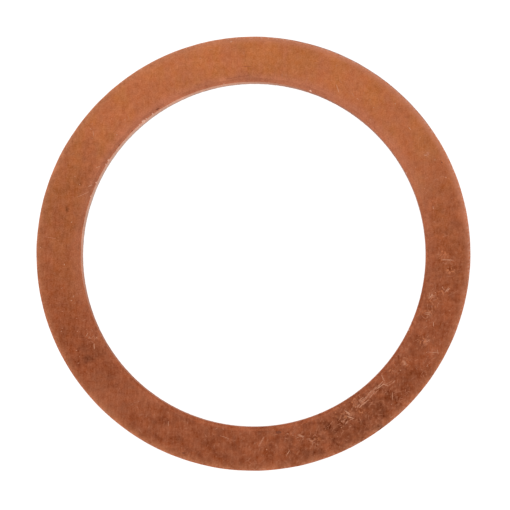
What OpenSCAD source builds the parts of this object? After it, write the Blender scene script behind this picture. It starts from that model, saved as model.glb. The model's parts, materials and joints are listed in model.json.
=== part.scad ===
// Flat sealing ring: one piece of soft copper, blanked from strip by a single stroke
// that cuts its outer edge and its hole together.
//
// The ring lies flat, as it comes to rest. +Z is its axis and points up from the surface
// that it lies on, and the origin is the centre of its underside. Lengths are in
// millimetres.
//
// The stroke leaves the same three bands on both cut edges. From the upper face down:
// the roll, where the tool drew the face down before it began to cut;
// the land, which the tool sheared straight and burnished;
// the break, where the last of the metal tore and leans back from the land.
// Tumbling then eases the sharp foot of each break.

/* [Ring] */
// Diameter of the hole, across its land
hole_d = 30.2; // [10:0.1:60]
// Radial width of the ring, from the hole's land to the outer land
ring_w = 3.9; // [2:0.1:12]
// Thickness of the strip
thickness = 2; // [1.2:0.1:5]

/* [Outer edge] */
// How far in from the outer land the face starts to roll down
outer_roll_w = 0.65; // [0.3:0.05:1]
// How far the face has dropped where it meets the outer land
outer_roll_drop = 0.28; // [0.12:0.01:0.5]

/* [Hole edge] */
// How far out from the hole's land the face starts to roll down
hole_roll_w = 0.4; // [0.25:0.05:0.9]
// How far the face has dropped where it meets the hole's land
hole_roll_drop = 0.22; // [0.12:0.01:0.5]

/* [Both cut edges] */
// Radius that turns each roll into its land
turn_r = 0.1; // [0.04:0.01:0.2]
// Height of the break above the underside
break_h = 0.7; // [0.2:0.05:1.2]
// How far the break leans back from the land at the underside
break_lean = 0.06; // [0.01:0.01:0.2]
// Radius that tumbling leaves at the foot of each break
foot_r = 0.08; // [0.02:0.01:0.15]

/* [Hidden] */

outer_d = hole_d + 2 * ring_w;

// A rounding takes up at most this share of the drop or height that it sits in
round_share = 0.6;

arc_steps = 96;
ring_steps = 240;

// The long arc of a roll starts level with the face and runs into the short arc of
// radius turn without a corner. This is the one radius that lets it do so.
function roll_radius(w, drop, turn) =
    (w * w + drop * drop - 2 * w * turn) / (2 * (drop - turn));

// What the stroke draws down off a square top corner at [0, 0], with the metal at its
// left: a block over the corner, less the metal that is left under the two arcs.
module roll_off(w, drop) {
    turn = min(turn_r, round_share * drop);
    face_r = roll_radius(w, drop, turn);
    face_centre = [-w, -face_r];
    turn_centre = [-turn, -drop];
    // From the long arc's centre through the short arc's, and past where the arcs meet
    across = turn_centre - face_centre;
    reach = 2 * face_r * across / norm(across);
    back = [-2 * face_r, 0];
    difference() {
        translate([-w, -drop]) square([2 * w, 2 * drop]);
        translate(turn_centre) circle(turn, $fn = arc_steps);
        intersection() {
            translate(face_centre) circle(face_r, $fn = arc_steps);
            translate(face_centre) polygon([[0, 0], reach, reach + back, back]);
        }
    }
}

// What the tear takes off a square bottom corner at [0, 0], with the metal at its left:
// the wedge that leans back from the land, and the corner at its foot.
module torn_off() {
    lean = atan(break_lean / break_h);
    foot = min(foot_r, round_share * break_h);
    corner = [(1 - sin(lean)) / cos(lean), -1];
    foot_centre = [-break_lean - foot * corner.x, foot];
    polygon([
        [0, break_h], [break_h, break_h], [break_h, -break_h], [-2 * break_lean, -break_h]
    ]);
    translate(foot_centre) difference() {
        polygon(2 * foot * [[0, 0], [0, -1], corner, [cos(lean), -sin(lean)]]);
        circle(foot, $fn = arc_steps);
    }
}

module cut_edge(roll_w, roll_drop) {
    translate([0, thickness]) roll_off(roll_w, roll_drop);
    torn_off();
}

// Half of the ring cut through its axis: a square-edged bar, less both cut edges
module ring_section() {
    difference() {
        translate([hole_d / 2, 0]) square([ring_w, thickness]);
        translate([outer_d / 2, 0]) cut_edge(outer_roll_w, outer_roll_drop);
        translate([hole_d / 2, 0]) mirror([1, 0]) cut_edge(hole_roll_w, hole_roll_drop);
    }
}

module washer() {
    color([0.68, 0.38, 0.24]) rotate_extrude($fn = ring_steps) ring_section();
}

washer();
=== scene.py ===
# %% [markdown]
# # A flat copper sealing ring
#
# This ring goes under the head of a screwed plug. The plug squashes it against the spot
# face round its thread, and the soft copper closes every way out. It is one piece, cut out
# of rolled strip by a single stroke of a press, and then tumbled in a drum with hundreds
# like it. That history is all that there is to see on it, so the lesson follows it: the
# section that the stroke leaves, the strip's grain, the tarnish, and the knocks.
#
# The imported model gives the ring's real size. Everything below starts from it.

# %% Load the fixed frame
import json
import math
import random

import bmesh
import bpy
from mathutils import Euler, Matrix, Vector

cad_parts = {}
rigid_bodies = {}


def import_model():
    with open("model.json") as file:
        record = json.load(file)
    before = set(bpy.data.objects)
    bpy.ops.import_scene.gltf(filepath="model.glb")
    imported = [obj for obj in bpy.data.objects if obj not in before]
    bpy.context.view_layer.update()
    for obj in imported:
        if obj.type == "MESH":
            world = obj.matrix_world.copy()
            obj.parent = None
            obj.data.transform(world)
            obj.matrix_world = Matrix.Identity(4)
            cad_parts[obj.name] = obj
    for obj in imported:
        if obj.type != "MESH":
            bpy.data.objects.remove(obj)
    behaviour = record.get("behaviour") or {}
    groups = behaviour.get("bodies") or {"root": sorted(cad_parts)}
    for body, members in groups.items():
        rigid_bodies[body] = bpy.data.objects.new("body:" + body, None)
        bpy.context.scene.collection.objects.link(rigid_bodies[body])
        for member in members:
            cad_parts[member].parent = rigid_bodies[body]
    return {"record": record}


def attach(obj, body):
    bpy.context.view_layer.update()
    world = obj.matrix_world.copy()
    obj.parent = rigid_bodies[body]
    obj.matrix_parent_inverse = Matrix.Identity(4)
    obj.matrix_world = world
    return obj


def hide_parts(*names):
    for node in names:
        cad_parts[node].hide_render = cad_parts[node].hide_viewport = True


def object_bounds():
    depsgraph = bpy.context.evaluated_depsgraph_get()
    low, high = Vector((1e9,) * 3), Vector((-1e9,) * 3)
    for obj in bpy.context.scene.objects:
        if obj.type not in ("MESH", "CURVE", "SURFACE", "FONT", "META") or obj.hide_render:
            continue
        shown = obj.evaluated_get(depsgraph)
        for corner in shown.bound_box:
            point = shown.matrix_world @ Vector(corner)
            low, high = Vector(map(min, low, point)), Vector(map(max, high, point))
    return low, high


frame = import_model()
cad_low, cad_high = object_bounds()
mm = 0.001

mounts = {mount["name"]: mount for mount in frame["record"]["mounts"]}
hole_land_middle = mounts["bore"]["pos_m"][2]
hole_land_height = mounts["bore"]["dims"]["length_mm"] * mm

outer_r = cad_high.x
hole_r = mounts["bore"]["dims"]["r_mm"] * mm
thickness = cad_high.z
ring_w = outer_r - hole_r
break_h = hole_land_middle - hole_land_height / 2
hole_roll_drop = thickness - hole_land_middle - hole_land_height / 2
print(f"ring {2 * outer_r / mm:.1f} mm across, hole {2 * hole_r / mm:.1f} mm, "
      f"{thickness / mm:.1f} mm thick, break {break_h / mm:.2f} mm high")

# %% [markdown]
# ## Picking by place
#
# Edit mode's operators act on what is selected. By hand one clicks. In a script it is
# safer to say where the wanted vertices are, because then nothing depends on the order in
# which Blender happens to number them.

# %% Helpers that select
TINY = 0.001 * mm


def deselect_everything():
    bpy.ops.object.select_all(action="DESELECT")


def pick(test):
    """Selects the vertices of the mesh in edit mode whose place passes the test."""
    mesh = bpy.context.edit_object.data
    shape = bmesh.from_edit_mesh(mesh)
    bpy.ops.mesh.select_all(action="DESELECT")
    for vertex in shape.verts:
        vertex.select_set(bool(test(vertex.co)))
    shape.select_flush_mode()
    bmesh.update_edit_mesh(mesh)
    return sum(vertex.select for vertex in shape.verts)


def near(value, target):
    return abs(value - target) < TINY


# %% [markdown]
# ## The section
#
# A cut edge of blanked strip has three bands. From the face down: the roll, where the tool
# pulled the face down before it cut; the land, sheared straight and burnished; and the
# break, where the last of the metal tore and leans back.
#
# One could spin a hand-typed outline, but its points would say nothing about how they
# came to be. Instead the section starts as a plane as high as the roll and the land. Its
# bottom edge is extruded down for the break and drawn in a little for the lean. The edge
# between the two is then dissolved, so that one clean outline is left.

# %% The section's block, and the break under it
break_lean = 0.06 * mm
middle_r = (outer_r + hole_r) / 2

deselect_everything()
bpy.ops.mesh.primitive_plane_add(
    size=1, location=(middle_r, 0, (thickness + break_h) / 2), rotation=(math.pi / 2, 0, 0)
)
ring = bpy.context.object
ring.name = ring.data.name = "copper_ring"
ring.scale = (ring_w, thickness - break_h, 1)
bpy.ops.object.transform_apply(location=True, rotation=True, scale=True)

bpy.ops.object.mode_set(mode="EDIT")
pick(lambda place: near(place.z, break_h))
bpy.ops.mesh.extrude_region_move(TRANSFORM_OT_translate={"value": (0, 0, -break_h)})
bpy.ops.transform.resize(
    value=((ring_w - 2 * break_lean) / ring_w, 1, 1), center_override=(middle_r, 0, 0)
)
pick(lambda place: near(place.z, break_h))
bpy.ops.mesh.dissolve_edges(use_verts=False)
print(f"section: {len(bmesh.from_edit_mesh(ring.data).verts)} corners")

# %% [markdown]
# The roll is a quarter of an ellipse: wide along the face, short down the land. A vertex
# bevel gives a quarter circle as tall as the drop, and stretching it away from the land
# makes the ellipse. It leaves the face without a corner and meets the land without one.

# %% The rolls
outer_roll_w, outer_roll_drop = 0.65 * mm, 0.28 * mm
hole_roll_w = 0.4 * mm
ROLL_STEPS = 14


def roll_corner(land_r, width, drop):
    """Rolls the face down to the land at that radius."""
    pick(lambda place: near(place.x, land_r) and near(place.z, thickness))
    bpy.ops.mesh.bevel(
        offset=drop, offset_type="OFFSET", segments=ROLL_STEPS, profile=0.5, affect="VERTICES"
    )
    count = pick(lambda place: abs(place.x - land_r) < drop + TINY
                 and place.z > thickness - drop - TINY)
    bpy.ops.transform.resize(value=(width / drop, 1, 1), center_override=(land_r, 0, 0))
    print(f"roll at {land_r / mm:.2f} mm: {count} points")


roll_corner(outer_r, outer_roll_w, outer_roll_drop)
roll_corner(hole_r, hole_roll_w, hole_roll_drop)

# %% [markdown]
# Tumbling has eased the sharp foot of each break, so both bottom corners get a small round
# bevel. Then the straight stretches are divided, because the ring's skin needs points
# wherever it is going to be roughened or dented.

# %% The feet, and more points along the straight stretches
foot_r = 0.08 * mm
FOOT_STEPS = 3
FACE_CELLS, LAND_CELLS, BREAK_CELLS, UNDER_CELLS = 16, 5, 6, 10

pick(lambda place: near(place.z, 0))
bpy.ops.mesh.bevel(
    offset=foot_r, offset_type="OFFSET", segments=FOOT_STEPS, profile=0.5, affect="VERTICES"
)
bpy.ops.mesh.select_all(action="SELECT")
bpy.ops.mesh.delete(type="ONLY_FACE")


def divide(test, cells):
    """Divides the one edge whose two ends pass the test."""
    pick(test)
    bpy.ops.mesh.subdivide(number_cuts=cells - 1)


face_low_r, face_high_r = hole_r + hole_roll_w, outer_r - outer_roll_w
divide(lambda place: near(place.z, thickness), FACE_CELLS)
divide(lambda place: near(place.z, 0), UNDER_CELLS)
for side, roll_drop in ((-1, hole_roll_drop), (1, outer_roll_drop)):
    land_top = thickness - roll_drop
    divide(lambda place: (place.x - middle_r) * side > 0
           and (near(place.z, land_top) or near(place.z, break_h)), LAND_CELLS)
    divide(lambda place: (place.x - middle_r) * side > 0
           and (near(place.z, break_h) or foot_r / 2 < place.z < foot_r + TINY), BREAK_CELLS)
print(f"outline: {len(bmesh.from_edit_mesh(ring.data).verts)} points")

# %% [markdown]
# ## The ring
#
# Spin sweeps the outline once round the axis. Normals are recalculated afterwards, because
# spin may leave the skin inside out.

# %% Spin the section into the ring
RING_STEPS = 600

bpy.ops.mesh.select_all(action="SELECT")
bpy.ops.mesh.spin(steps=RING_STEPS, angle=2 * math.pi, center=(0, 0, 0), axis=(0, 0, 1))
bpy.ops.mesh.select_all(action="SELECT")
bpy.ops.mesh.remove_doubles(threshold=TINY)
bpy.ops.mesh.normals_make_consistent(inside=False)
print(f"ring: {len(bmesh.from_edit_mesh(ring.data).faces)} faces")

# %% [markdown]
# No press is perfect. The photograph shows the ring a quarter of a millimetre narrower near
# the bottom than opposite, so the punch stood half of that off centre. The whole edge of
# the hole moves over by it, and the flat faces next to it take up the difference.

# %% The punch stood a little off centre
hole_middle = Vector((0.05 * mm, -0.11 * mm, 0))

count = pick(lambda place: math.hypot(place.x, place.y) < face_low_r + TINY)
bpy.ops.transform.translate(value=hole_middle)
print(f"moved {count} points of the hole's edge")

# %% [markdown]
# ## The torn break, and metal that isn't quite true
#
# The break is grainy, because soft copper tears in little steps. The rolls wander a little
# as well: they follow the strip's own hard and soft places. Both are a Displace modifier
# with a Clouds texture. A vertex group says where it acts.

# %% Roughen the break and unsettle the rolls


def group(name, test):
    """Puts the vertices whose place passes the test in a new vertex group."""
    pick(test)
    bpy.ops.object.vertex_group_add()
    ring.vertex_groups.active.name = name
    bpy.ops.object.vertex_group_assign()


def unsettle(name, group_name, size, strength):
    """Pushes the skin in and out by up to half of strength, in lumps of that size."""
    lumps = bpy.data.textures.new(name, "CLOUDS")
    lumps.noise_scale = size
    lumps.noise_depth = 2
    push = ring.modifiers.new(name, "DISPLACE")
    push.texture = lumps
    push.texture_coords = "LOCAL"
    push.strength = strength
    push.vertex_group = group_name
    bpy.ops.object.modifier_apply(modifier=push.name)


def off_middle(place):
    return abs(math.hypot(place.x, place.y) - middle_r)


def on_break(place):
    return foot_r / 2 < place.z < break_h - TINY and off_middle(place) > ring_w / 3


def on_edge(place):
    return break_h < place.z < thickness - TINY


group("break", on_break)
group("rolls", on_edge)
bpy.ops.object.mode_set(mode="OBJECT")
unsettle("torn grain", "break", 0.22 * mm, 0.05 * mm)
unsettle("soft places", "rolls", 1.6 * mm, 0.035 * mm)
print(f"roughened: {len(ring.data.vertices)} points")

# %% [markdown]
# ## A brush for the finishes
#
# Each finish is a node tree. To keep its cells readable, a small class adds the nodes: it
# takes numbers or other nodes' outputs and does the linking. Every pattern is measured in
# millimetres from the ring's own centre, through Object coordinates, so it keeps its true
# scale and stays on the metal whichever way the ring is turned.

# %% The brush


class Brush:
    """Adds nodes to one material."""

    def __init__(self, name):
        self.material = bpy.data.materials.new(name)
        self.material.use_nodes = True
        self.tree = self.material.node_tree
        self.shader = self.tree.nodes["Principled BSDF"]
        place = self.tree.nodes.new("ShaderNodeTexCoord").outputs["Object"]
        self.place = self.node("VectorMath", {0: place, "Scale": 1 / mm}, operation="SCALE")

    def node(self, kind, inputs, output=0, **settings):
        made = self.tree.nodes.new("ShaderNode" + kind)
        for name, value in settings.items():
            setattr(made, name, value)
        for name, value in inputs.items():
            if isinstance(value, bpy.types.NodeSocket):
                self.tree.links.new(value, made.inputs[name])
            elif made.inputs[name].type == "RGBA":
                made.inputs[name].default_value = (*value, 1)
            else:
                made.inputs[name].default_value = value
        return made.outputs[output]

    def maths(self, operation, first, second=0.0):
        return self.node("Math", {0: first, 1: second}, operation=operation)

    def fade(self, value, start, end):
        """0 at start, 1 at end, smooth between. Start may be the higher of the two."""
        return self.node("MapRange", {"Value": value, "From Min": start, "From Max": end},
                         interpolation_type="SMOOTHSTEP")

    def both(self, first, second):
        return self.maths("MULTIPLY", first, second)

    def either(self, first, second):
        return self.maths("MAXIMUM", first, second)

    def without(self, part):
        """1 less the part."""
        return self.maths("SUBTRACT", 1.0, part)

    def noise(self, size, detail=2.0, stretch=(1, 1, 1), turn=0.0, shift=0.0):
        """Lumps about size millimetres across, drawn out along X, Y or Z by stretch."""
        place = self.node("Mapping", {
            "Vector": self.place, "Rotation": (0, 0, math.radians(turn)),
            "Location": (shift, shift, shift), "Scale": stretch,
        }, vector_type="TEXTURE")
        return self.node("TexNoise", {"Vector": place, "Scale": 1 / size, "Detail": detail})

    def swing(self, pattern, amount):
        """The pattern, less its middle value, times amount."""
        return self.both(self.maths("SUBTRACT", pattern, 0.5), amount)

    def ripple(self, pattern, amount):
        """A factor round 1 that follows the pattern."""
        return self.maths("ADD", 1.0, self.swing(pattern, amount))

    def blend(self, share, first, second):
        return self.node("Mix", {0: share, 6: first, 7: second}, output=2, data_type="RGBA")

    def shade(self, colour, amount):
        """The colour times amount, which is 1 where nothing changes."""
        return self.node("VectorMath", {0: colour, "Scale": amount}, operation="SCALE")

    def add(self, colour, tinge, amount):
        """The colour with that much of a tinge added. Amount may be below 0."""
        return self.node("VectorMath", {0: colour, 1: self.shade(tinge, amount)},
                         operation="ADD")


# %% [markdown]
# ## Where things lie in the photograph
#
# The photograph is 510 pixels square, and the ring's centre and scale in it were measured
# from its outline. A mark that was read off in pixels is turned into millimetres on the
# ring here, once.

# %% From a pixel of the photograph to a place on the ring
RING_CENTRE_PX = (252.95, 253.21)
PX_PER_MM = 11.43


def on_ring(px, py):
    """The place, in metres from the ring's axis, that shows at a pixel."""
    return Vector(((px - RING_CENTRE_PX[0]) / PX_PER_MM * mm,
                   (RING_CENTRE_PX[1] - py) / PX_PER_MM * mm, 0))


# %% [markdown]
# Three things are uneven on the skin, and each has a list of places. Grit has scuffed the
# ring, the tarnish has stains, and here and there the skin has come off in crumbs. The
# finish and the marks both read the first list, so a scuffed place is paler and scratched.

# %% The scuffed, stained and crumbled places
# The pixel, the radius in millimetres, and how many scratches there are
SCUFFS = [
    (350, 414, 0.75, 13), (363, 402, 0.6, 9), (359, 394, 0.45, 6), (389, 383, 0.55, 6),
    (405, 363, 0.4, 8), (425, 369, 0.45, 4), (432, 352, 0.55, 6), (425, 342, 0.45, 6),
    (428, 314, 0.55, 7), (431, 297, 0.55, 7), (446, 291, 0.35, 3), (447, 263, 0.6, 5),
    (303, 436, 0.6, 6), (314, 441, 0.4, 5), (289, 452, 0.4, 3), (344, 420, 0.5, 5),
    (92, 338, 0.45, 7), (80, 295, 0.5, 5), (84, 195, 0.45, 3), (426, 156, 0.3, 3),
]

# The pixel, the radius in millimetres, and how much darker or paler the stain is
TARNISH = [
    # Upper left
    (47, 205, 0.8, 0.02), (66, 198, 3.6, -0.12), (67, 210, 0.3, -0.35), (74, 160, 2.6, -0.08),
    (76, 150, 1, -0.03), (88, 200, 1, 0.03), (92, 131, 1, -0.03), (104, 168, 3, -0.06),
    # The small spots from (116, 153) to (164, 105) darken the hole's edge at the upper left.
    (116, 153, 0.15, -0.2), (118, 92, 2.6, -0.03), (118, 140, 1.3, -0.05), (121, 147, 0.18, -0.2),
    (126, 141, 0.15, -0.25), (131, 136, 0.18, -0.25), (139, 127, 0.16, -0.25),
    (164, 105, 0.2, -0.2), (186, 58, 1, 0.02), (212, 88, 1.2, -0.07), (232, 80, 0.9, -0.05),
    (235, 46, 0.8, 0.02), (250, 77, 0.8, -0.08),
    # Upper right
    (253, 74, 1.2, -0.03), (259, 47, 0.8, -0.03), (260, 44, 0.9, -0.05), (270, 80, 0.9, -0.05),
    (396, 142, 0.6, 0.03), (398, 120, 0.7, -0.03), (400, 150, 3.5, 0.015), (421, 193, 0.8, 0.025),
    (424, 182, 1.6, 0.035), (425, 155, 1, 0.03), (425, 250, 1.2, -0.04), (442, 225, 1.4, -0.06),
    (445, 245, 1.6, -0.05), (452, 203, 0.8, -0.1), (453, 188, 0.6, 0.03), (455, 225, 1.3, 0.01),
    (455, 243, 0.7, 0.04),
    # Lower right
    (290, 442, 1, -0.1), (293, 443, 0.8, -0.07), (313, 456, 1, 0.03), (314, 440, 1.8, -0.14),
    (318, 417, 0.7, -0.08), (322, 421, 0.8, -0.08), (343, 416, 1, -0.08), (345, 432, 2.4, -0.24),
    (357, 436, 0.8, 0.025), (373, 382, 0.9, -0.11), (375, 408, 2.2, -0.26), (376, 388, 1, -0.11),
    (378, 422, 0.8, -0.08), (380, 425, 0.8, -0.1), (400, 382, 1.6, -0.1), (410, 338, 1.4, 0.005),
    (418, 356, 1.5, -0.05), (418, 372, 1, -0.05), (429, 271, 0.9, -0.09), (430, 300, 2.2, -0.04),
    (430, 344, 0.8, -0.09), (438, 258, 0.8, -0.04), (438, 304, 0.7, 0.02), (440, 330, 1.2, 0.005),
    # Lower left
    (72, 262, 3.6, 0.014), (75, 288, 1.2, 0.012), (80, 285, 1, 0.015), (80, 340, 1.6, -0.07),
    (86, 300, 1, 0.02), (90, 352, 1.5, -0.14), (90, 359, 0.4, -0.2), (96, 381, 1, 0.05),
    (104, 338, 0.9, 0.03), (104, 352, 0.9, 0.02), (108, 398, 2, 0.04), (112, 362, 0.8, 0.02),
    (113, 375, 1, -0.05), (117, 409, 0.9, 0.03), (130, 379, 0.4, 0.02), (131, 386, 0.5, 0.03),
    (143, 402, 1.5, 0.04), (165, 434, 1.2, -0.12), (182, 418, 1, 0.025), (205, 450, 0.8, -0.05),
]

# The pixel and the radius in millimetres
CRUMBLED = [
    (447, 290, 0.3), (441, 293, 0.35), (431, 298, 0.5), (427, 314, 0.5), (433, 307, 0.3),
    (450, 272, 0.45), (442, 256, 0.5), (348, 414, 0.5), (339, 413, 0.5), (361, 411, 0.4),
    (424, 342, 0.5), (405, 363, 0.45), (392, 371, 0.35), (355, 402, 0.4), (316, 441, 0.45),
]
print(f"{len(SCUFFS)} scuffed, {len(TARNISH)} stained and {len(CRUMBLED)} crumbled places")

# %% [markdown]
# ## Tarnished copper
#
# Fresh copper is salmon pink. A ring that has lain in a drawer has a thin brown skin:
# golden tan where it is thinnest and red brown where it is thicker. On the lower side the
# red brown is partly that tarnish and partly painted shade. It is still a metal under that,
# so the shader is metallic, with a satin roughness, and the skin is in its colour.
#
# Most of what follows depends on where a point lies: how far from the rim, the hole or the
# face it is, and how far towards one side. These are measured once, in millimetres. The
# hole has a centre of its own, because the punch stood off centre.

# %% Measures on the ring
skin = Brush("tarnished_copper")
x_mm, y_mm, z_mm = skin.node("SeparateXYZ", {0: skin.place}).node.outputs
across = skin.node("CombineXYZ", {0: x_mm, 1: y_mm, 2: 0.0})
radius = skin.node("VectorMath", {0: across}, output="Value", operation="LENGTH")
hole_radius = skin.node("VectorMath", {0: across, 1: hole_middle / mm}, output="Value",
                        operation="DISTANCE")
from_rim = skin.maths("SUBTRACT", outer_r / mm, radius)
from_hole = skin.maths("SUBTRACT", hole_radius, hole_r / mm)
from_face = skin.maths("SUBTRACT", thickness / mm, z_mm)


def towards(x_share, y_share):
    """A measure that grows across the ring in that direction."""
    return skin.maths("ADD", skin.both(x_mm, x_share), skin.both(y_mm, y_share))


print(f"measures: {len(skin.tree.nodes)} nodes")

# %% [markdown]
# The broad change of colour comes first: two warm tints in bands along the strip, then the
# darker lower side, which is partly red-brown tarnish and partly painted shade. The other
# patterns are made here too, from the broadest to the finest, because colour, roughness
# and relief all share them.

# %% The skin's patterns and its broad colours
GOLD, ROSE = (0.465, 0.150, 0.051), (0.468, 0.144, 0.060)
RED_BROWN = (0.340, 0.092, 0.038)

bands = skin.noise(1.3, detail=3, stretch=(1, 2.5, 1))
patches = skin.noise(2.6, detail=3, shift=4)
clouds = skin.noise(1.0, detail=4, shift=7)
mottle = skin.noise(0.6, detail=5, shift=31)
blotches = skin.noise(0.36, detail=3, shift=3)
streaks = skin.noise(0.18, detail=3, stretch=(1, 6, 1), turn=-2)
speckle = skin.noise(0.12, detail=2, shift=11)

# The lower side goes darker and redder: partly tarnish, partly painted shade.
towards_lower_side = skin.maths("ADD", towards(0.10, -1.0), skin.swing(patches, 9.0))
lower_shade_and_tarnish = skin.fade(towards_lower_side, -15.0, 8.0)
colour = skin.blend(skin.fade(bands, 0.36, 0.64), GOLD, ROSE)
colour = skin.blend(lower_shade_and_tarnish, colour, RED_BROWN)
print(f"with the patterns: {len(skin.tree.nodes)} nodes")

# %% [markdown]
# The fine patterns change the skin's depth of colour: clouds, blotches, a speckle of about
# a tenth of a millimetre, and the streaks that the rolling mill left along the strip. Their
# strength changes towards the lower right, where grit has worn the skin most. Tone is what
# the colour is multiplied by. Fine is how much of PALER is added to it or taken away: a
# name that ends like that is a change of colour, and not a colour.

# %% Clouds, blotches, speckle and streaks
PALER = (1.0, 0.5, 0.29)
worn = skin.fade(towards(0.57, -0.82), -4.0, 20.0)


def share(sound, at_worst):
    """A strength that grows with the wear."""
    return skin.maths("ADD", sound, skin.both(worn, at_worst - sound))


tone = skin.both(skin.ripple(clouds, share(0.25, 0.60)),
                 skin.ripple(patches, share(0.42, 0.48)))
fine = skin.swing(speckle, share(0.24, 0.16))
for pattern, strength in (
    (blotches, share(0.17, 0.20)),
    (clouds, share(0.08, 0.12)),
    (streaks, skin.maths("ADD", 0.08, skin.both(lower_shade_and_tarnish, 0.09))),
):
    fine = skin.maths("ADD", fine, skin.swing(pattern, strength))
print(f"with the fine patterns: {len(skin.tree.nodes)} nodes")

# %% [markdown]
# A stain and a crumbled place are round patches whose edge the clouds push in and out, so
# that neither looks like a disc. A dark stain darkens the grain in it as well, so it goes
# into the tone. In a crumbled place a noise picks out the crumbs, and warmer metal shows
# in them.

# %% Stains and crumbled places
WARMER, MAUVER = (1.0, 0.43, 0.21), (-0.8, 0.08, 0.23)
WIDEST_RAGGED = 1.5
ragged = skin.swing(skin.maths("ADD", clouds, skin.swing(blotches, 0.6)), 2.4)


def distance_to(px, py):
    """Millimetres from the place on the upper face that shows at a pixel."""
    middle = on_ring(px, py) / mm
    return skin.node("VectorMath", {0: skin.place, 1: (middle.x, middle.y, thickness / mm)},
                     output="Value", operation="DISTANCE")


def patch(px, py, size, full, gone):
    """1 inside a ragged patch and 0 outside. Full and gone are shares of its size."""
    edge = skin.both(ragged, min(1.0, size / WIDEST_RAGGED))
    return skin.fade(skin.maths("ADD", distance_to(px, py), edge), size * gone, size * full)


def toned(plain):
    """A colour with the skin's tone and fine patterns on it."""
    return skin.add(skin.shade(plain, tone), PALER, fine)


for px, py, size, change in TARNISH:
    stain = patch(px, py, size, 0.1, 1.2)
    if change < 0:
        tone = skin.both(tone, skin.maths("ADD", 1.0, skin.both(stain, change)))
    else:
        fine = skin.maths("ADD", fine, skin.both(stain, change))
crumbled = 0.0
for px, py, size in CRUMBLED:
    crumbled = skin.either(crumbled, patch(px, py, size, 0.3, 1.3))

colour = toned(colour)
crumbs = skin.fade(skin.noise(0.18, detail=3, shift=41), 0.49, 0.63)
colour = skin.add(colour, WARMER, skin.both(skin.both(crumbled, crumbs), 0.24))
colour = skin.add(colour, MAUVER, skin.swing(mottle, 0.09))
print(f"with the stains: {len(skin.tree.nodes)} nodes")

# %% [markdown]
# Close up, the skin is never quite whole. Flecks of it are gone and show paler metal, grime
# sits in other flecks, and hair lines too fine to cut run through the scuffed places, in
# three directions.

# %% Bright flecks, dark flecks and hair lines
SCUFFED, UMBER = (0.500, 0.195, 0.105), (0.220, 0.058, 0.027)

scuff = skin.both(worn, 0.35)
for px, py, size, _ in SCUFFS:
    away = skin.maths("ADD", distance_to(px, py), skin.swing(blotches, 1.0))
    scuff = skin.either(scuff, skin.fade(away, size * 1.3, size * 0.2))

flecks = skin.noise(0.18, detail=4, stretch=(1, 1.5, 1), turn=-40, shift=17)
bright_flecks = skin.fade(skin.maths("ADD", flecks, skin.both(scuff, 0.10)), 0.57, 0.72)
bright_flecks = skin.both(bright_flecks, share(0.12, 0.50))
colour = skin.blend(bright_flecks, colour, SCUFFED)

grime = skin.noise(0.38, detail=4, stretch=(1, 2, 1), turn=4, shift=23)
dark_flecks = skin.both(skin.fade(grime, 0.50, 0.33), share(0.04, 0.28))
colour = skin.blend(dark_flecks, colour, UMBER)

scuffed_clouds = skin.both(scuff, skin.fade(clouds, 0.42, 0.6))
for turn, size in ((-42, 0.07), (68, 0.06), (15, 0.06)):
    hairs = skin.noise(size, detail=1, stretch=(1, 9, 1), turn=turn, shift=turn)
    hairs = skin.both(skin.fade(hairs, 0.60, 0.74), scuffed_clouds)
    colour = skin.blend(skin.both(hairs, 0.8), colour, SCUFFED)
print(f"with the flecks: {len(skin.tree.nodes)} nodes")

# %% [markdown]
# ## What the stroke and the drum did to the colour, and painted light on the edges
#
# The drum rubs what stands proud, so the outer roll is a shade lighter and pinker than the
# face, and so is the hole's; that lightness is partly worn metal and partly painted
# highlight. The rim has caught most of the rubbing at the upper right, where there are pale
# flecks along the edge. There the roll also has a painted sheen, which is a painted
# highlight, and the edge itself a thin grey line of painted shade.

# %% The rubbed rolls, partly painted highlight, and the rim
RUBBED_AND_HIGHLIT, RUBBED_AND_HIGHLIT_PINK = (0.506, 0.182, 0.086), (0.487, 0.173, 0.101)
PAINTED_SHEEN_COLOUR, PALE_RIM, RIM_SHADE_GREY = (0.60, 0.22, 0.13), (0.62, 0.33, 0.24), (0.27, 0.20, 0.20)

# The outer roll is made lighter and pinker: partly wear, partly painted highlight.
outer_rub_and_highlight = skin.both(skin.fade(from_rim, 0.9, 0.0), share(0.95, 0.38))
less_rub_and_highlight = skin.fade(distance_to(56, 322), 13.0, 5.0)
outer_rub_and_highlight = skin.both(outer_rub_and_highlight, skin.without(skin.both(less_rub_and_highlight, 0.45)))
colour = skin.blend(outer_rub_and_highlight, colour, toned(RUBBED_AND_HIGHLIT))

# The hole's roll is made lighter too: partly wear, partly painted highlight.
hole_rub_and_highlight = skin.fade(from_hole, hole_roll_w / mm + 0.7, 0.0)
hole_rub_and_highlight = skin.both(hole_rub_and_highlight, skin.maths("SUBTRACT", 0.8, skin.both(lower_shade_and_tarnish, 0.7)))
colour = skin.blend(hole_rub_and_highlight, colour, toned(RUBBED_AND_HIGHLIT_PINK))

# Painted highlight: a sheen on the outer roll at the upper right, where the rim also has more
# pale flecks.
upper_right_wear_and_highlight = skin.fade(towards(0.7, 0.7), 4.0, 18.0)
painted_sheen = skin.both(skin.both(skin.fade(from_rim, 0.60, 0.30), upper_right_wear_and_highlight), 0.4)
colour = skin.blend(painted_sheen, colour, PAINTED_SHEEN_COLOUR)
rim_flecks = skin.both(skin.fade(flecks, 0.46, 0.60), skin.fade(from_rim, 0.35, 0.03))
rim_flecks = skin.both(rim_flecks, skin.maths("ADD", 0.25, skin.both(upper_right_wear_and_highlight, 0.5)))
colour = skin.blend(rim_flecks, colour, PALE_RIM)
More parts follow.
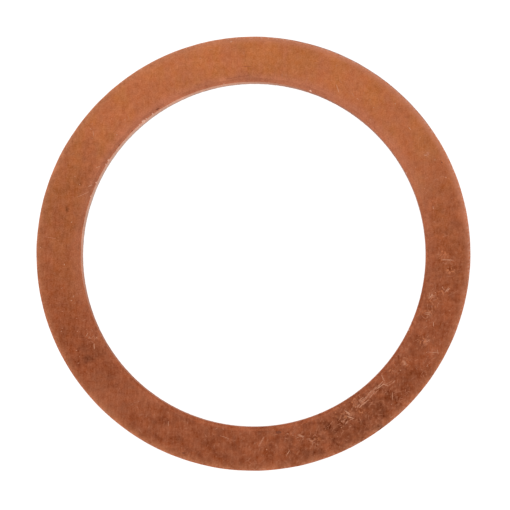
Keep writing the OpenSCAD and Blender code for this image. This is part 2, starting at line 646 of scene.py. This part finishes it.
# Painted shade: a thin grey line along the very edge of the rim, towards the upper right.
rim_shade_line = skin.both(skin.fade(towards(0.5, 0.87), 16.0, 18.6),
                     skin.fade(from_rim, 0.10, 0.04))
colour = skin.blend(skin.both(rim_shade_line, 0.7), colour, RIM_SHADE_GREY)
print(f"with the rubbed rolls: {len(skin.tree.nodes)} nodes")

# %% [markdown]
# Beside the hole a thin darker line runs, mostly at the upper left. On the upper side the
# first stretch of the hole's roll is made a little lighter and redder, which is painted
# light that fills in the darker band that the roll's tilt gets there. It is left out where
# the wall is palest.

# %% Beside the hole
REDDER_LIFT = (1.0, 0.22, 0.02)

beside_hole = skin.both(skin.fade(from_hole, 0.35, 0.15), skin.fade(from_hole, -0.02, 0.08))
upper_left = skin.fade(towards(-0.8, 1.0), 2.0, 14.0)
# A thin darker line beside the hole, mostly at the upper left.
dark_line_by_hole = skin.both(skin.both(beside_hole, upper_left), skin.fade(blotches, 0.40, 0.58))
colour = skin.blend(skin.both(dark_line_by_hole, 0.15), colour, RED_BROWN)

burnished_and_highlit = skin.fade(towards(-0.87, 0.5), 12.6, 14.6)
# Painted light: on the upper side the start of the hole's roll is made lighter and redder,
# filling the darker band from its tilt.
lit_roll_start = skin.both(skin.fade(from_hole, 0.42, 0.26), skin.fade(from_hole, 0.0, 0.12))
lifted_upper_side = skin.both(skin.fade(y_mm, 0.0, 5.0), skin.without(burnished_and_highlit))
colour = skin.add(colour, REDDER_LIFT, skin.both(skin.both(lit_roll_start, lifted_upper_side), 0.045))
print(f"with the hole's edge: {len(skin.tree.nodes)} nodes")

# %% [markdown]
# The tool burnished the lands and left upright lines on them. The break is dull and
# greyish, partly from the torn metal and partly as painted shade. Both bands follow the
# height, with a ragged border. The walls are palest at the upper left, partly from
# burnishing and partly as painted highlight, and have tarnished like the face elsewhere.

# %% The burnished lands and the torn break, with painted highlight and shade
OUTER_LAND, OUTER_BREAK = (0.61, 0.285, 0.17), (0.38, 0.175, 0.11)
HOLE_LAND, HOLE_BREAK = (0.74, 0.46, 0.36), (0.36, 0.225, 0.185)
BRIGHT_LAND, BRIGHT_BREAK = (0.76, 0.50, 0.405), (0.39, 0.275, 0.235)

in_hole = skin.fade(radius, middle_r / mm + 0.2, middle_r / mm - 0.2)
dull = skin.both(skin.fade(towards(0.7, -0.7), -13.0, -5.0), 0.9)

lines = skin.noise(0.09, detail=2, stretch=(1, 1, 12), shift=5)
land_start = skin.maths("ADD", from_face, skin.swing(blotches, 0.15))
is_land = skin.both(skin.fade(land_start, 0.17, 0.27), skin.fade(z_mm, 0.001, 0.004))
# Painted highlight: the hole's land is pale, most at the upper left, on top of burnishing.
land = skin.blend(burnished_and_highlit, HOLE_LAND, BRIGHT_LAND)
land = skin.blend(in_hole, OUTER_LAND, land)
land = skin.blend(dull, land, skin.shade(RED_BROWN, 1.1))
land = skin.shade(land, skin.both(skin.ripple(lines, 0.7), tone))
colour = skin.blend(is_land, colour, land)

torn = skin.noise(0.14, detail=3, shift=2)
tear = skin.maths("ADD", z_mm, skin.swing(torn, 0.5))
is_break = skin.both(skin.fade(tear, break_h / mm + 0.03, break_h / mm - 0.03), is_land)
# Painted shade: the break is greyish, on top of the torn metal's own dullness.
torn_and_shaded_metal = skin.blend(burnished_and_highlit, HOLE_BREAK, BRIGHT_BREAK)
torn_and_shaded_metal = skin.blend(in_hole, OUTER_BREAK, torn_and_shaded_metal)
torn_and_shaded_metal = skin.blend(dull, torn_and_shaded_metal, RED_BROWN)
torn_and_shaded_metal = skin.shade(torn_and_shaded_metal, skin.ripple(torn, 0.9))
colour = skin.blend(is_break, colour, torn_and_shaded_metal)
print(f"with the walls: {len(skin.tree.nodes)} nodes")

# %% [markdown]
# ## Roughness and relief
#
# The skin is satin. Lands are smoother and the break is rougher. The bump is tiny, a few
# thousandths of a millimetre, and comes from the same patterns as the colour, so what
# looks like grain also catches the light as grain. Dirt clings to the torn break, so it is
# only partly metal to the shader.

# %% Finish the skin's shader
satin = skin.maths("ADD", 0.44, skin.swing(clouds, 0.25))
satin = skin.node("Mix", {0: is_land, 2: satin, 3: 0.34})
satin = skin.node("Mix", {0: is_break, 2: satin, 3: 0.62})
relief = skin.maths("ADD", skin.both(streaks, 0.5), skin.both(speckle, share(0.4, 1.2)))
relief = skin.maths("ADD", relief, skin.both(is_break, skin.both(torn, 8.0)))
relief = skin.maths("ADD", relief, skin.both(is_land, lines))
bump = skin.node("Bump", {"Strength": 1.0, "Distance": 0.004 * mm, "Height": relief})

skin.tree.links.new(colour, skin.shader.inputs["Base Color"])
skin.tree.links.new(satin, skin.shader.inputs["Roughness"])
skin.tree.links.new(bump, skin.shader.inputs["Normal"])
skin.tree.links.new(skin.without(skin.both(is_break, 0.6)), skin.shader.inputs["Metallic"])
skin.shader.inputs["Specular Tint"].default_value = (0.6, 0.42, 0.34, 1)
ring.data.materials.append(skin.material)
print(f"{skin.material.name}: {len(skin.tree.nodes)} nodes")

# %% [markdown]
# ## Bare copper and packed dirt
#
# A scratch cuts through the skin to clean, pinker metal, a faint one only to duller metal.
# A dent or an old scratch fills with dirt instead, and a burr is paler than anything else.
# Each gets a small finish of its own.

# %% The finishes inside the marks
MARK_GRAIN = 0.1


def small_finish(name, colour, roughness):
    finish = Brush(name)
    light = finish.ripple(finish.noise(MARK_GRAIN), 1.2)
    finish.tree.links.new(finish.shade(colour, light), finish.shader.inputs["Base Color"])
    finish.shader.inputs["Roughness"].default_value = roughness
    finish.shader.inputs["Metallic"].default_value = 1
    return finish.material


bare_copper = small_finish("bare_copper", (0.61, 0.290, 0.180), 0.42)
dull_copper = small_finish("dull_copper", (0.50, 0.195, 0.11), 0.45)
burr_copper = small_finish("burr_copper", (0.78, 0.44, 0.32), 0.5)
old_scratch = small_finish("old_scratch", (0.34, 0.10, 0.048), 0.5)
packed_dirt = small_finish("packed_dirt", (0.26, 0.080, 0.042), 0.6)
print(f"{bare_copper.name}, {packed_dirt.name} and three more are mixed")

# %% [markdown]
# ## The marks
#
# Scratches and nicks are cut out of the ring, the way they came about. The tool for all of
# them is one grain of grit: a small ball with its poles laid along X, so that each cut
# comes to a point at both ends. Copies of it are stretched, laid along the surface at the
# marks' places, and taken away in one Boolean, which also gives each cut its own finish.

# %% A grain of grit
deselect_everything()
bpy.ops.mesh.primitive_uv_sphere_add(segments=8, ring_count=6, radius=1,
                                     rotation=(0, math.pi / 2, 0))
grit = bpy.context.object
grit.name = "grit"
bpy.ops.object.transform_apply(location=True, rotation=True, scale=True)
cuts = bpy.data.collections.new("cuts")
burrs = bpy.data.collections.new("burrs")
print(f"{grit.name}: {len(grit.data.polygons)} faces")

# %% [markdown]
# A grain has to lie along the skin, so the height of the skin is worked out, and the way
# that it faces. On a roll both follow the ellipse, but not into its last twentieth, which
# is too steep.

# %% Lay a grain on the skin
ROLL_REACH = 0.95


def surface(place):
    """The height of the ring's upper skin at a place, and the way that it faces there."""
    if place.length > face_high_r:
        width, drop, step = outer_roll_w, outer_roll_drop, place.length - face_high_r
        out = place.normalized()
    elif (place - hole_middle).length < face_low_r:
        width, drop = hole_roll_w, hole_roll_drop
        step = face_low_r - (place - hole_middle).length
        out = (hole_middle - place).normalized()
    else:
        return thickness, Vector((0, 0, 1))
    along_roll = min(step / width, ROLL_REACH)
    fall = math.sqrt(1 - along_roll * along_roll)
    slope = drop / width * along_roll / fall
    return thickness - drop * (1 - fall), (Vector((0, 0, 1)) + out * slope).normalized()


# A ball sunk to half its radius shows this share of its width at the surface
SHOWN = math.sqrt(3) / 2


def lay_grain(place, heading, size, lift, finish, heap, flat=False):
    """Lays one grain on the ring, along its skin or else flat. Heading is in degrees from
    +X, anticlockwise."""
    height, up = surface(place)
    if flat:
        up = Vector((0, 0, 1))
    along = Vector((math.cos(math.radians(heading)), math.sin(math.radians(heading)), 0))
    along = (along - up * along.dot(up)).normalized()
    turn = Matrix((along, up.cross(along), up)).transposed().to_4x4()
    grain = grit.copy()
    grain.data = grit.data.copy()
    grain.data.materials.append(finish)
    centre = Vector((place.x, place.y, height)) + up * lift
    grain.matrix_world = Matrix.Translation(centre) @ turn @ Matrix.Diagonal((*size, 1))
    heap.objects.link(grain)


def cut(place, heading, length, width, depth, finish):
    """A cut of that length, width and depth."""
    lay_grain(place, heading, (length / 2 / SHOWN, width / 2 / SHOWN, 2 * depth), depth,
              finish, cuts)


def heading_of(run):
    """The heading of a run across the ring, in degrees."""
    return math.degrees(math.atan2(run.y, run.x))


def around_ring(place):
    """The heading of the ring's edge at a place."""
    return heading_of(place) + 90


# %% [markdown]
# The marks that the photograph shows one by one are listed with the pixels where they
# start and end, as read off, their width in millimetres, and how many grains scored
# them side by side.

# %% Scratches that can be told apart
SCRATCHES = [
    # The bundle at the lower right
    (381.7, 375, 384.5, 383, 0.05, 2), (394, 381, 387.4, 384.7, 0.07, 3),
    (387.4, 384.7, 383, 383, 0.07, 3), (383, 383, 376, 389.5, 0.08, 3),
    (376, 389.5, 368.3, 398, 0.08, 4), (368.3, 398, 360.6, 404.8, 0.07, 4),
    (378, 385.7, 359.7, 401.5, 0.05, 3), (369, 388.6, 358.7, 393, 0.06, 2),
    (360, 404, 357, 408, 0.06, 2), (359.5, 401, 366, 403, 0.06, 2),
    (345.5, 411.5, 351, 415.5, 0.10, 4), (347.5, 415.5, 353.5, 417.5, 0.09, 3),
    (403, 360, 407, 366, 0.07, 3), (401.5, 362.5, 405, 363.5, 0.06, 2),
    (345.8, 418.7, 342.7, 422.5, 0.05, 2), (389, 417.7, 393.6, 415.4, 0.04, 1),
    (368, 404, 377, 404, 0.04, 1), (392.7, 391, 392, 398, 0.04, 1),
    # Up the right side
    (425, 156, 427.6, 156.5, 0.07, 2), (427.6, 156.5, 429, 154, 0.07, 2),
    (433.6, 205.8, 433.6, 210.2, 0.07, 2), (432.5, 223.5, 435.5, 223.3, 0.06, 1),
    (440, 260.7, 453, 261.5, 0.07, 2), (445.4, 293.2, 448.8, 289.4, 0.07, 3),
    (433, 295, 429.5, 299.6, 0.07, 3), (430, 295.5, 433, 296.5, 0.06, 2),
    (425, 314, 430.5, 314.6, 0.07, 3), (433, 323.8, 433, 327.2, 0.06, 1),
    (421, 341, 425, 342.6, 0.06, 2), (425, 342.6, 428.6, 341, 0.06, 2),
    (429.5, 352, 438, 352.7, 0.05, 2), (427, 364, 430.4, 362, 0.06, 2),
    (409, 128.8, 411, 131, 0.05, 1), (337, 85.5, 339.3, 92, 0.06, 2),
    (353.5, 95, 355, 98, 0.04, 1), (357.5, 99.5, 360, 101, 0.04, 1),
    (283, 75, 283.2, 78, 0.05, 1), (287.2, 73.8, 286.8, 76.4, 0.05, 1),
    # Along the bottom
    (266.4, 433.6, 259.5, 446, 0.11, 1), (309, 438.8, 313, 440.8, 0.06, 2),
    (311, 439.5, 317, 442.3, 0.06, 2), (288, 453, 290.6, 450, 0.05, 1),
    (223, 436, 231, 439, 0.04, 1), (216.5, 429.5, 218.7, 427.7, 0.05, 1),
    (169.5, 422, 169.5, 427, 0.04, 1), (299.5, 434.5, 306, 437, 0.05, 2),
    # Up the left side
    (76.9, 197.6, 89.3, 192, 0.07, 1), (87, 187.5, 94, 184, 0.05, 1),
    (95, 168.4, 100.8, 166, 0.04, 1), (93, 131.5, 93.6, 135.4, 0.05, 1),
    (48.2, 237.8, 58, 239, 0.04, 1), (63.7, 287.4, 61.6, 289.5, 0.05, 1),
    (79, 294, 83.5, 293, 0.05, 2), (73, 298, 74.4, 296, 0.05, 1),
    (88.7, 336.4, 91, 338.5, 0.08, 2), (93.3, 338, 96.3, 336.4, 0.08, 2),
    (96.3, 339, 98.9, 337.4, 0.08, 1), (95, 345, 95.2, 349.5, 0.08, 1),
]
print(f"{len(SCRATCHES)} scratches to score")

# %% [markdown]
# Each line is a row of short strokes that wander a little and skip here and there, as grit
# does when it is dragged. A grain on its own makes longer and straighter strokes, and never
# skips. A cut's depth is a share of its width.
#
# The small differences are drawn at random, here and in all the marks that follow, from one
# seeded generator, so that the ring comes out the same each time.

# %% Score the scratches
STROKE, LONE_STROKE = 0.7 * mm, 1.4 * mm
SIDESTEP = 0.06 * mm
SHALLOW = 0.13
dice = random.Random(30382)


def metal(bare_share):
    """Bare copper for that share of the marks, and dull copper for the rest."""
    return bare_copper if dice.random() < bare_share else dull_copper


def scratch(x1, y1, x2, y2, width, grains):
    """Rows of strokes from one pixel to the other."""
    start = on_ring(x1, y1)
    run = on_ring(x2, y2) - start
    heading = heading_of(run)
    sideways = Vector((-run.y, run.x, 0)).normalized()
    stroke, waver, keen = (STROKE, 5, 1) if grains > 1 else (LONE_STROKE, 1.5, 1.3)
    count = max(1, round(run.length / stroke))
    for grain in range(grains):
        offset = sideways * (grain - (grains - 1) / 2) * SIDESTEP * dice.uniform(0.8, 1.6)
        for step in range(count):
            if grains > 1 and dice.random() < 0.25:
                continue
            along = (step + dice.uniform(0.3, 0.7)) / count
            wander = Vector((dice.gauss(0, 0.02), dice.gauss(0, 0.02), 0)) * mm * waver / 5
            wide = width * mm * dice.uniform(0.6, 1.1) * keen
            cut(start + run * along + offset + wander, heading + dice.gauss(0, waver),
                run.length / count * dice.uniform(0.8, 1.4), wide, wide * SHALLOW,
                metal(bare_share=0.6))


for line in SCRATCHES:
    scratch(*line)

# %% [markdown]
# In a few old scratches dirt has stayed, and they show as thin dark lines. Each is one long
# shallow cut.

# %% Thin dark lines
DARK_LINES = [
    (243, 67, 253.5, 66.5), (238, 77.5, 251, 75.5), (226, 79.5, 238, 77.5),
    (277, 440, 290, 436.5),
]
DARK_LINE_W, DARK_LINE_DEPTH = 0.05 * mm, 0.006 * mm

for x1, y1, x2, y2 in DARK_LINES:
    start, end = on_ring(x1, y1), on_ring(x2, y2)
    run = end - start
    cut((start + end) / 2, heading_of(run), run.length, DARK_LINE_W, DARK_LINE_DEPTH,
        old_scratch)

# %% [markdown]
# In a scuffed place the grit was dragged about in one spot. Its short scratches run much
# the same way and lie closest together in the middle. Few of them are bright.

# %% The scuffed places
for px, py, size, count in SCUFFS:
    drag = dice.uniform(-20, 100)
    for _ in range(count):
        aside = Vector((dice.gauss(0, 0.75), dice.gauss(0, 0.45), 0)) * size * mm
        aside.rotate(Euler((0, 0, math.radians(drag))))
        wide = dice.uniform(0.03, 0.06) * mm
        cut(on_ring(px, py) + aside, dice.gauss(drag, 30), dice.uniform(0.1, 0.45) * mm,
            wide, wide * SHALLOW, metal(bare_share=0.15))

# %% [markdown]
# Single knocks have left nicks, hardly longer than wide, and each sits where the photograph
# has a bright speck. The larger dents lie along the ring, and they have filled with dirt.

# %% Nicks and dirty dents that can be told apart
NICKS = [
    (201, 58), (186.8, 48.5), (371, 101), (374.5, 109), (396, 105), (371, 121), (369, 125),
    (435, 161.5), (409, 166), (416, 169), (446, 179), (425, 190), (464.7, 239), (427, 244),
    (440, 242), (443.6, 256), (448, 269), (450, 273.5), (442, 294), (438, 304), (431.4, 307.7),
    (448.7, 311.5), (426, 321.6), (409, 331), (396, 357), (421, 369.4), (400, 370.4),
    (392.7, 396), (391, 404), (354, 399), (356, 406.7), (341.5, 415.4), (335.7, 412),
    (361.6, 412), (341.5, 427), (338, 436), (347.8, 446.4), (352.9, 446), (274, 429.6),
    (288.6, 433), (293.7, 435), (309.5, 421.4), (267.6, 449), (246, 468), (214, 424.5),
    (241, 427.5), (169.5, 413), (140, 401.6), (138.4, 407.4), (64.7, 265), (40.5, 248),
    (43, 218), (72, 301), (62.7, 312), (77.4, 319), (82, 280), (87, 330), (62, 331.8),
    (63, 328.8), (78, 332), (77.4, 351), (80.5, 357), (79.5, 363.5), (90.8, 128.7), (92, 138),
    (75, 176.5), (79.8, 184.7), (74, 213.4), (71.6, 222.5), (42.8, 229), (111.8, 118.6),
    (117, 134.7), (125, 119.6), (138.4, 102.5),
]
for px, py in NICKS:
    wide = dice.uniform(0.05, 0.085) * mm
    cut(on_ring(px, py), dice.uniform(0, 180), wide * dice.uniform(1.2, 2), wide,
        wide * SHALLOW, metal(bare_share=0.5))

# The pixel, the length and the width in millimetres
DIRTY_DENTS = [
    (279.4, 432, 0.52, 0.28), (185, 452.8, 0.28, 0.14), (158, 109, 0.48, 0.17),
    (132.4, 130.6, 0.24, 0.12), (119.5, 145, 0.22, 0.12), (96, 184.7, 0.20, 0.10),
    (442, 164, 0.18, 0.10),
]
DENT_DEPTH = 0.02 * mm

for px, py, length, width in DIRTY_DENTS:
    place = on_ring(px, py)
    cut(place, around_ring(place) + dice.gauss(0, 8), length * mm, width * mm, DENT_DEPTH,
        packed_dirt)
print(f"{len(NICKS)} nicks and {len(DIRTY_DENTS)} dirty dents")

# %% [markdown]
# The edges have suffered too. The outer one has nicks where rings struck each other. The
# hole's has burrs, most of them at the upper left: slivers that the punch smeared over the
# roll. A burr is the same grain, but it stands proud and is joined on, not cut away.

# %% Nicks in the rim and burrs round the hole
RIM_NICKS = [(149.6, 62.8), (141.6, 68.0), (122.0, 81.4), (186.8, 47.7), (232.0, 41.5)]
RIM_NICK_W, RIM_NICK_DEPTH = 0.14 * mm, 0.035 * mm
MORE_RIM_NICKS = 14

# The pixel and the length in millimetres
BURRS = [
    (143.8, 121, 0.36), (146.5, 118.5, 0.16), (153.7, 114.8, 0.18), (139.5, 124.5, 0.12),
    (109.4, 160.8, 0.22), (107, 165, 0.14), (97.5, 183.3, 0.16), (91.7, 197, 0.14),
    (311, 93, 0.26), (404, 176, 0.12), (409.5, 331, 0.14), (225, 85.5, 0.12),
]
BURR_FROM_LAND, BURR_H = 0.05 * mm, 0.07 * mm

for px, py in RIM_NICKS:
    place = on_ring(px, py)
    cut(place, around_ring(place) + dice.gauss(0, 15), dice.uniform(0.15, 0.3) * mm,
        RIM_NICK_W, RIM_NICK_DEPTH, bare_copper)
for _ in range(MORE_RIM_NICKS):
    turn = dice.uniform(0, 2 * math.pi)
    away = outer_r - dice.uniform(0, 0.12) * mm
    place = Vector((math.cos(turn), math.sin(turn), 0)) * away
    cut(place, around_ring(place) + dice.gauss(0, 25), dice.uniform(0.1, 0.35) * mm,
        dice.uniform(0.08, 0.14) * mm, dice.uniform(0.015, 0.03) * mm, dull_copper)
for px, py, length in BURRS:
    outwards = (on_ring(px, py) - hole_middle).normalized()
    place = hole_middle + outwards * (hole_r + BURR_FROM_LAND)
    lay_grain(place, around_ring(place) + dice.gauss(0, 15),
              (length / 2 * mm, dice.uniform(0.3, 0.4) * length * mm, BURR_H), 0,
              burr_copper, burrs, flat=True)
print(f"{len(RIM_NICKS) + MORE_RIM_NICKS} nicks in the rim, {len(BURRS)} burrs")

# %% [markdown]
# Between those lie hundreds that can't be told apart: hair scratches and pinpricks. Three in
# four of them are on the worn side, and half of them lean the way that the grit was mostly
# dragged. Angles are in degrees from +X.

# %% Hair scratches by the hundred
HAIRS = 200
WORN_SHARE, WORN_MIDDLE, WORN_SPREAD = 0.75, -52, 32
DRAG, DRAG_SPREAD = 40, 30

for _ in range(HAIRS):
    if dice.random() < WORN_SHARE:
        turn = math.radians(dice.gauss(WORN_MIDDLE, WORN_SPREAD))
    else:
        turn = dice.uniform(0, 2 * math.pi)
    away = dice.uniform(face_low_r, face_high_r + 0.2 * mm)
    place = Vector((away * math.cos(turn), away * math.sin(turn), 0))
    dragged = dice.random() < 0.5
    heading = dice.gauss(DRAG, DRAG_SPREAD) if dragged else dice.uniform(0, 180)
    wide = dice.uniform(0.02, 0.045) * mm
    cut(place, heading, dice.uniform(0.12, 0.55) * mm, wide, wide * SHALLOW, dull_copper)

# %% [markdown]
# One Boolean joins the burrs and one takes the cuts away. The Manifold solver does hundreds
# of overlapping tools in a second or two. Transfer carries each tool's material over to the
# faces that it leaves. Shading is smooth over the rolls, and stays sharp along each cut.

# %% Join the burrs and cut the marks
deselect_everything()
ring.select_set(True)
bpy.context.view_layer.objects.active = ring


def work_in(heap, operation):
    work = ring.modifiers.new(heap.name, "BOOLEAN")
    work.operation = operation
    work.operand_type = "COLLECTION"
    work.collection = heap
    work.solver = "MANIFOLD"
    work.material_mode = "TRANSFER"
    bpy.ops.object.modifier_apply(modifier=work.name)
    for used in list(heap.objects):
        bpy.data.objects.remove(used)
    bpy.data.collections.remove(heap)


work_in(burrs, "UNION")
work_in(cuts, "DIFFERENCE")
bpy.data.objects.remove(grit)

SMOOTH_UP_TO = math.radians(24)
bpy.ops.object.shade_smooth_by_angle(angle=SMOOTH_UP_TO)
triangles = sum(len(face.vertices) - 2 for face in ring.data.polygons)
cut_faces = sum(face.material_index > 0 for face in ring.data.polygons)
print(f"marked ring: {triangles} triangles, {cut_faces} faces cut")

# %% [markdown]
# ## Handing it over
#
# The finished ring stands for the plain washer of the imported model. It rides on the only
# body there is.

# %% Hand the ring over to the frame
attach(ring, "root")
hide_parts("washer")
print(f"{ring.name}: {len(ring.data.materials)} finishes")

# %% [markdown]
# ## The picture
#
# The photograph was taken from almost straight above. A thin strip of the hole's wall shows
# at the upper left and none at the lower right, so the camera stood near, and a few degrees
# towards the lower right. Its lens follows from how much the photograph takes in.

# %% Camera
view_distance = 150 * mm
view_tilt = math.radians(3.7)
tilt_towards = Vector((0.743, -0.669, 0)).normalized()
aim = Vector((0.265 * mm, -0.230 * mm, thickness))
photo_width = 44.50 * mm
SENSOR_W = 36
NEAREST, FARTHEST = 10 * mm, 5000 * mm


def camera_turn(backward):
    """The turn of a camera that looks against backward, with the ring's +Y up."""
    right = Vector((0, 1, 0)).cross(backward).normalized()
    return Matrix((right, backward.cross(right), backward)).transposed().to_euler()


backward = tilt_towards * math.sin(view_tilt) + Vector((0, 0, math.cos(view_tilt)))
backward = backward.normalized()
bpy.ops.object.camera_add(
    location=aim + backward * view_distance, rotation=camera_turn(backward)
)
camera = bpy.context.object
camera.name = "camera"
camera.data.sensor_width = SENSOR_W
camera.data.lens = SENSOR_W * view_distance / photo_width
camera.data.clip_start = NEAREST
camera.data.clip_end = FARTHEST
bpy.context.scene.camera = camera
print(f"camera: {camera.data.lens:.0f} mm lens")

# %% [markdown]
# The floor is pure white, without a shadow. A white table that gives off light of its own
# comes out like that. It lies a hundredth of a millimetre below the ring, because two faces
# at the same height would flicker.

# %% Floor
FLOOR_W, FLOOR_GAP = 3, 0.01 * mm
FLOOR_GREY, FLOOR_GLOW = 0.3, 0.9

bpy.ops.mesh.primitive_plane_add(size=FLOOR_W, location=(0, 0, -FLOOR_GAP))
floor = bpy.context.object
floor.name = "floor"
paper = bpy.data.materials.new("white_table")
paper.use_nodes = True
sheet = paper.node_tree.nodes["Principled BSDF"]
sheet.inputs["Base Color"].default_value = (FLOOR_GREY, FLOOR_GREY, FLOOR_GREY, 1)
sheet.inputs["Roughness"].default_value = 1
sheet.inputs["Emission Color"].default_value = (1, 1, 1, 1)
sheet.inputs["Emission Strength"].default_value = FLOOR_GLOW
floor.data.materials.append(paper)
print(f"{floor.name}: {FLOOR_W} m across")

# %% [markdown]
# Metal shows what is round it, so the light is mostly the sky. It is white, a little darker
# straight above and a touch brighter at the back. The flat face mirrors the dark part and
# the rolls mirror the sides, which sets them off. A softbox above and behind the ring gives
# the face its faint gleam.

# %% Sky and softbox
ROOF_DARK, ROOF_POWER, BACK_BRIGHT = 0.30, 4, 0.03
SOFTBOX_PLACE = (-15 * mm, 62 * mm, 205 * mm)
SOFTBOX_W, SOFTBOX_WATTS = 100 * mm, 0.025

world = bpy.data.worlds.new("studio")
world.use_nodes = True
sky = world.node_tree
sky.nodes["Background"].inputs["Color"].default_value = (1, 1, 1, 1)
look = sky.nodes.new("ShaderNodeTexCoord")
parts = sky.nodes.new("ShaderNodeSeparateXYZ")
sky.links.new(look.outputs["Generated"], parts.inputs[0])


def sky_math(operation, first, second):
    made = sky.nodes.new("ShaderNodeMath")
    made.operation = operation
    for socket, value in zip(made.inputs, (first, second)):
        if isinstance(value, bpy.types.NodeSocket):
            sky.links.new(value, socket)
        else:
            socket.default_value = value
    return made.outputs[0]


roof = sky_math("POWER", sky_math("MAXIMUM", parts.outputs["Z"], 0), ROOF_POWER)
walls = sky_math("SUBTRACT", 1, sky_math("MULTIPLY", roof, ROOF_DARK))
lean = sky_math("ADD", 1, sky_math("MULTIPLY", parts.outputs["Y"], BACK_BRIGHT))
sky.links.new(sky_math("MULTIPLY", walls, lean), sky.nodes["Background"].inputs["Strength"])
bpy.context.scene.world = world
bpy.context.scene.view_settings.view_transform = "Standard"

bpy.ops.object.light_add(type="AREA", location=SOFTBOX_PLACE)
softbox = bpy.context.object
softbox.name = "softbox"
softbox.data.shape = "SQUARE"
softbox.data.size = SOFTBOX_W
softbox.data.energy = SOFTBOX_WATTS
softbox.rotation_euler = softbox.location.to_track_quat("Z", "Y").to_euler()
print(f"sky and {softbox.name} are up")
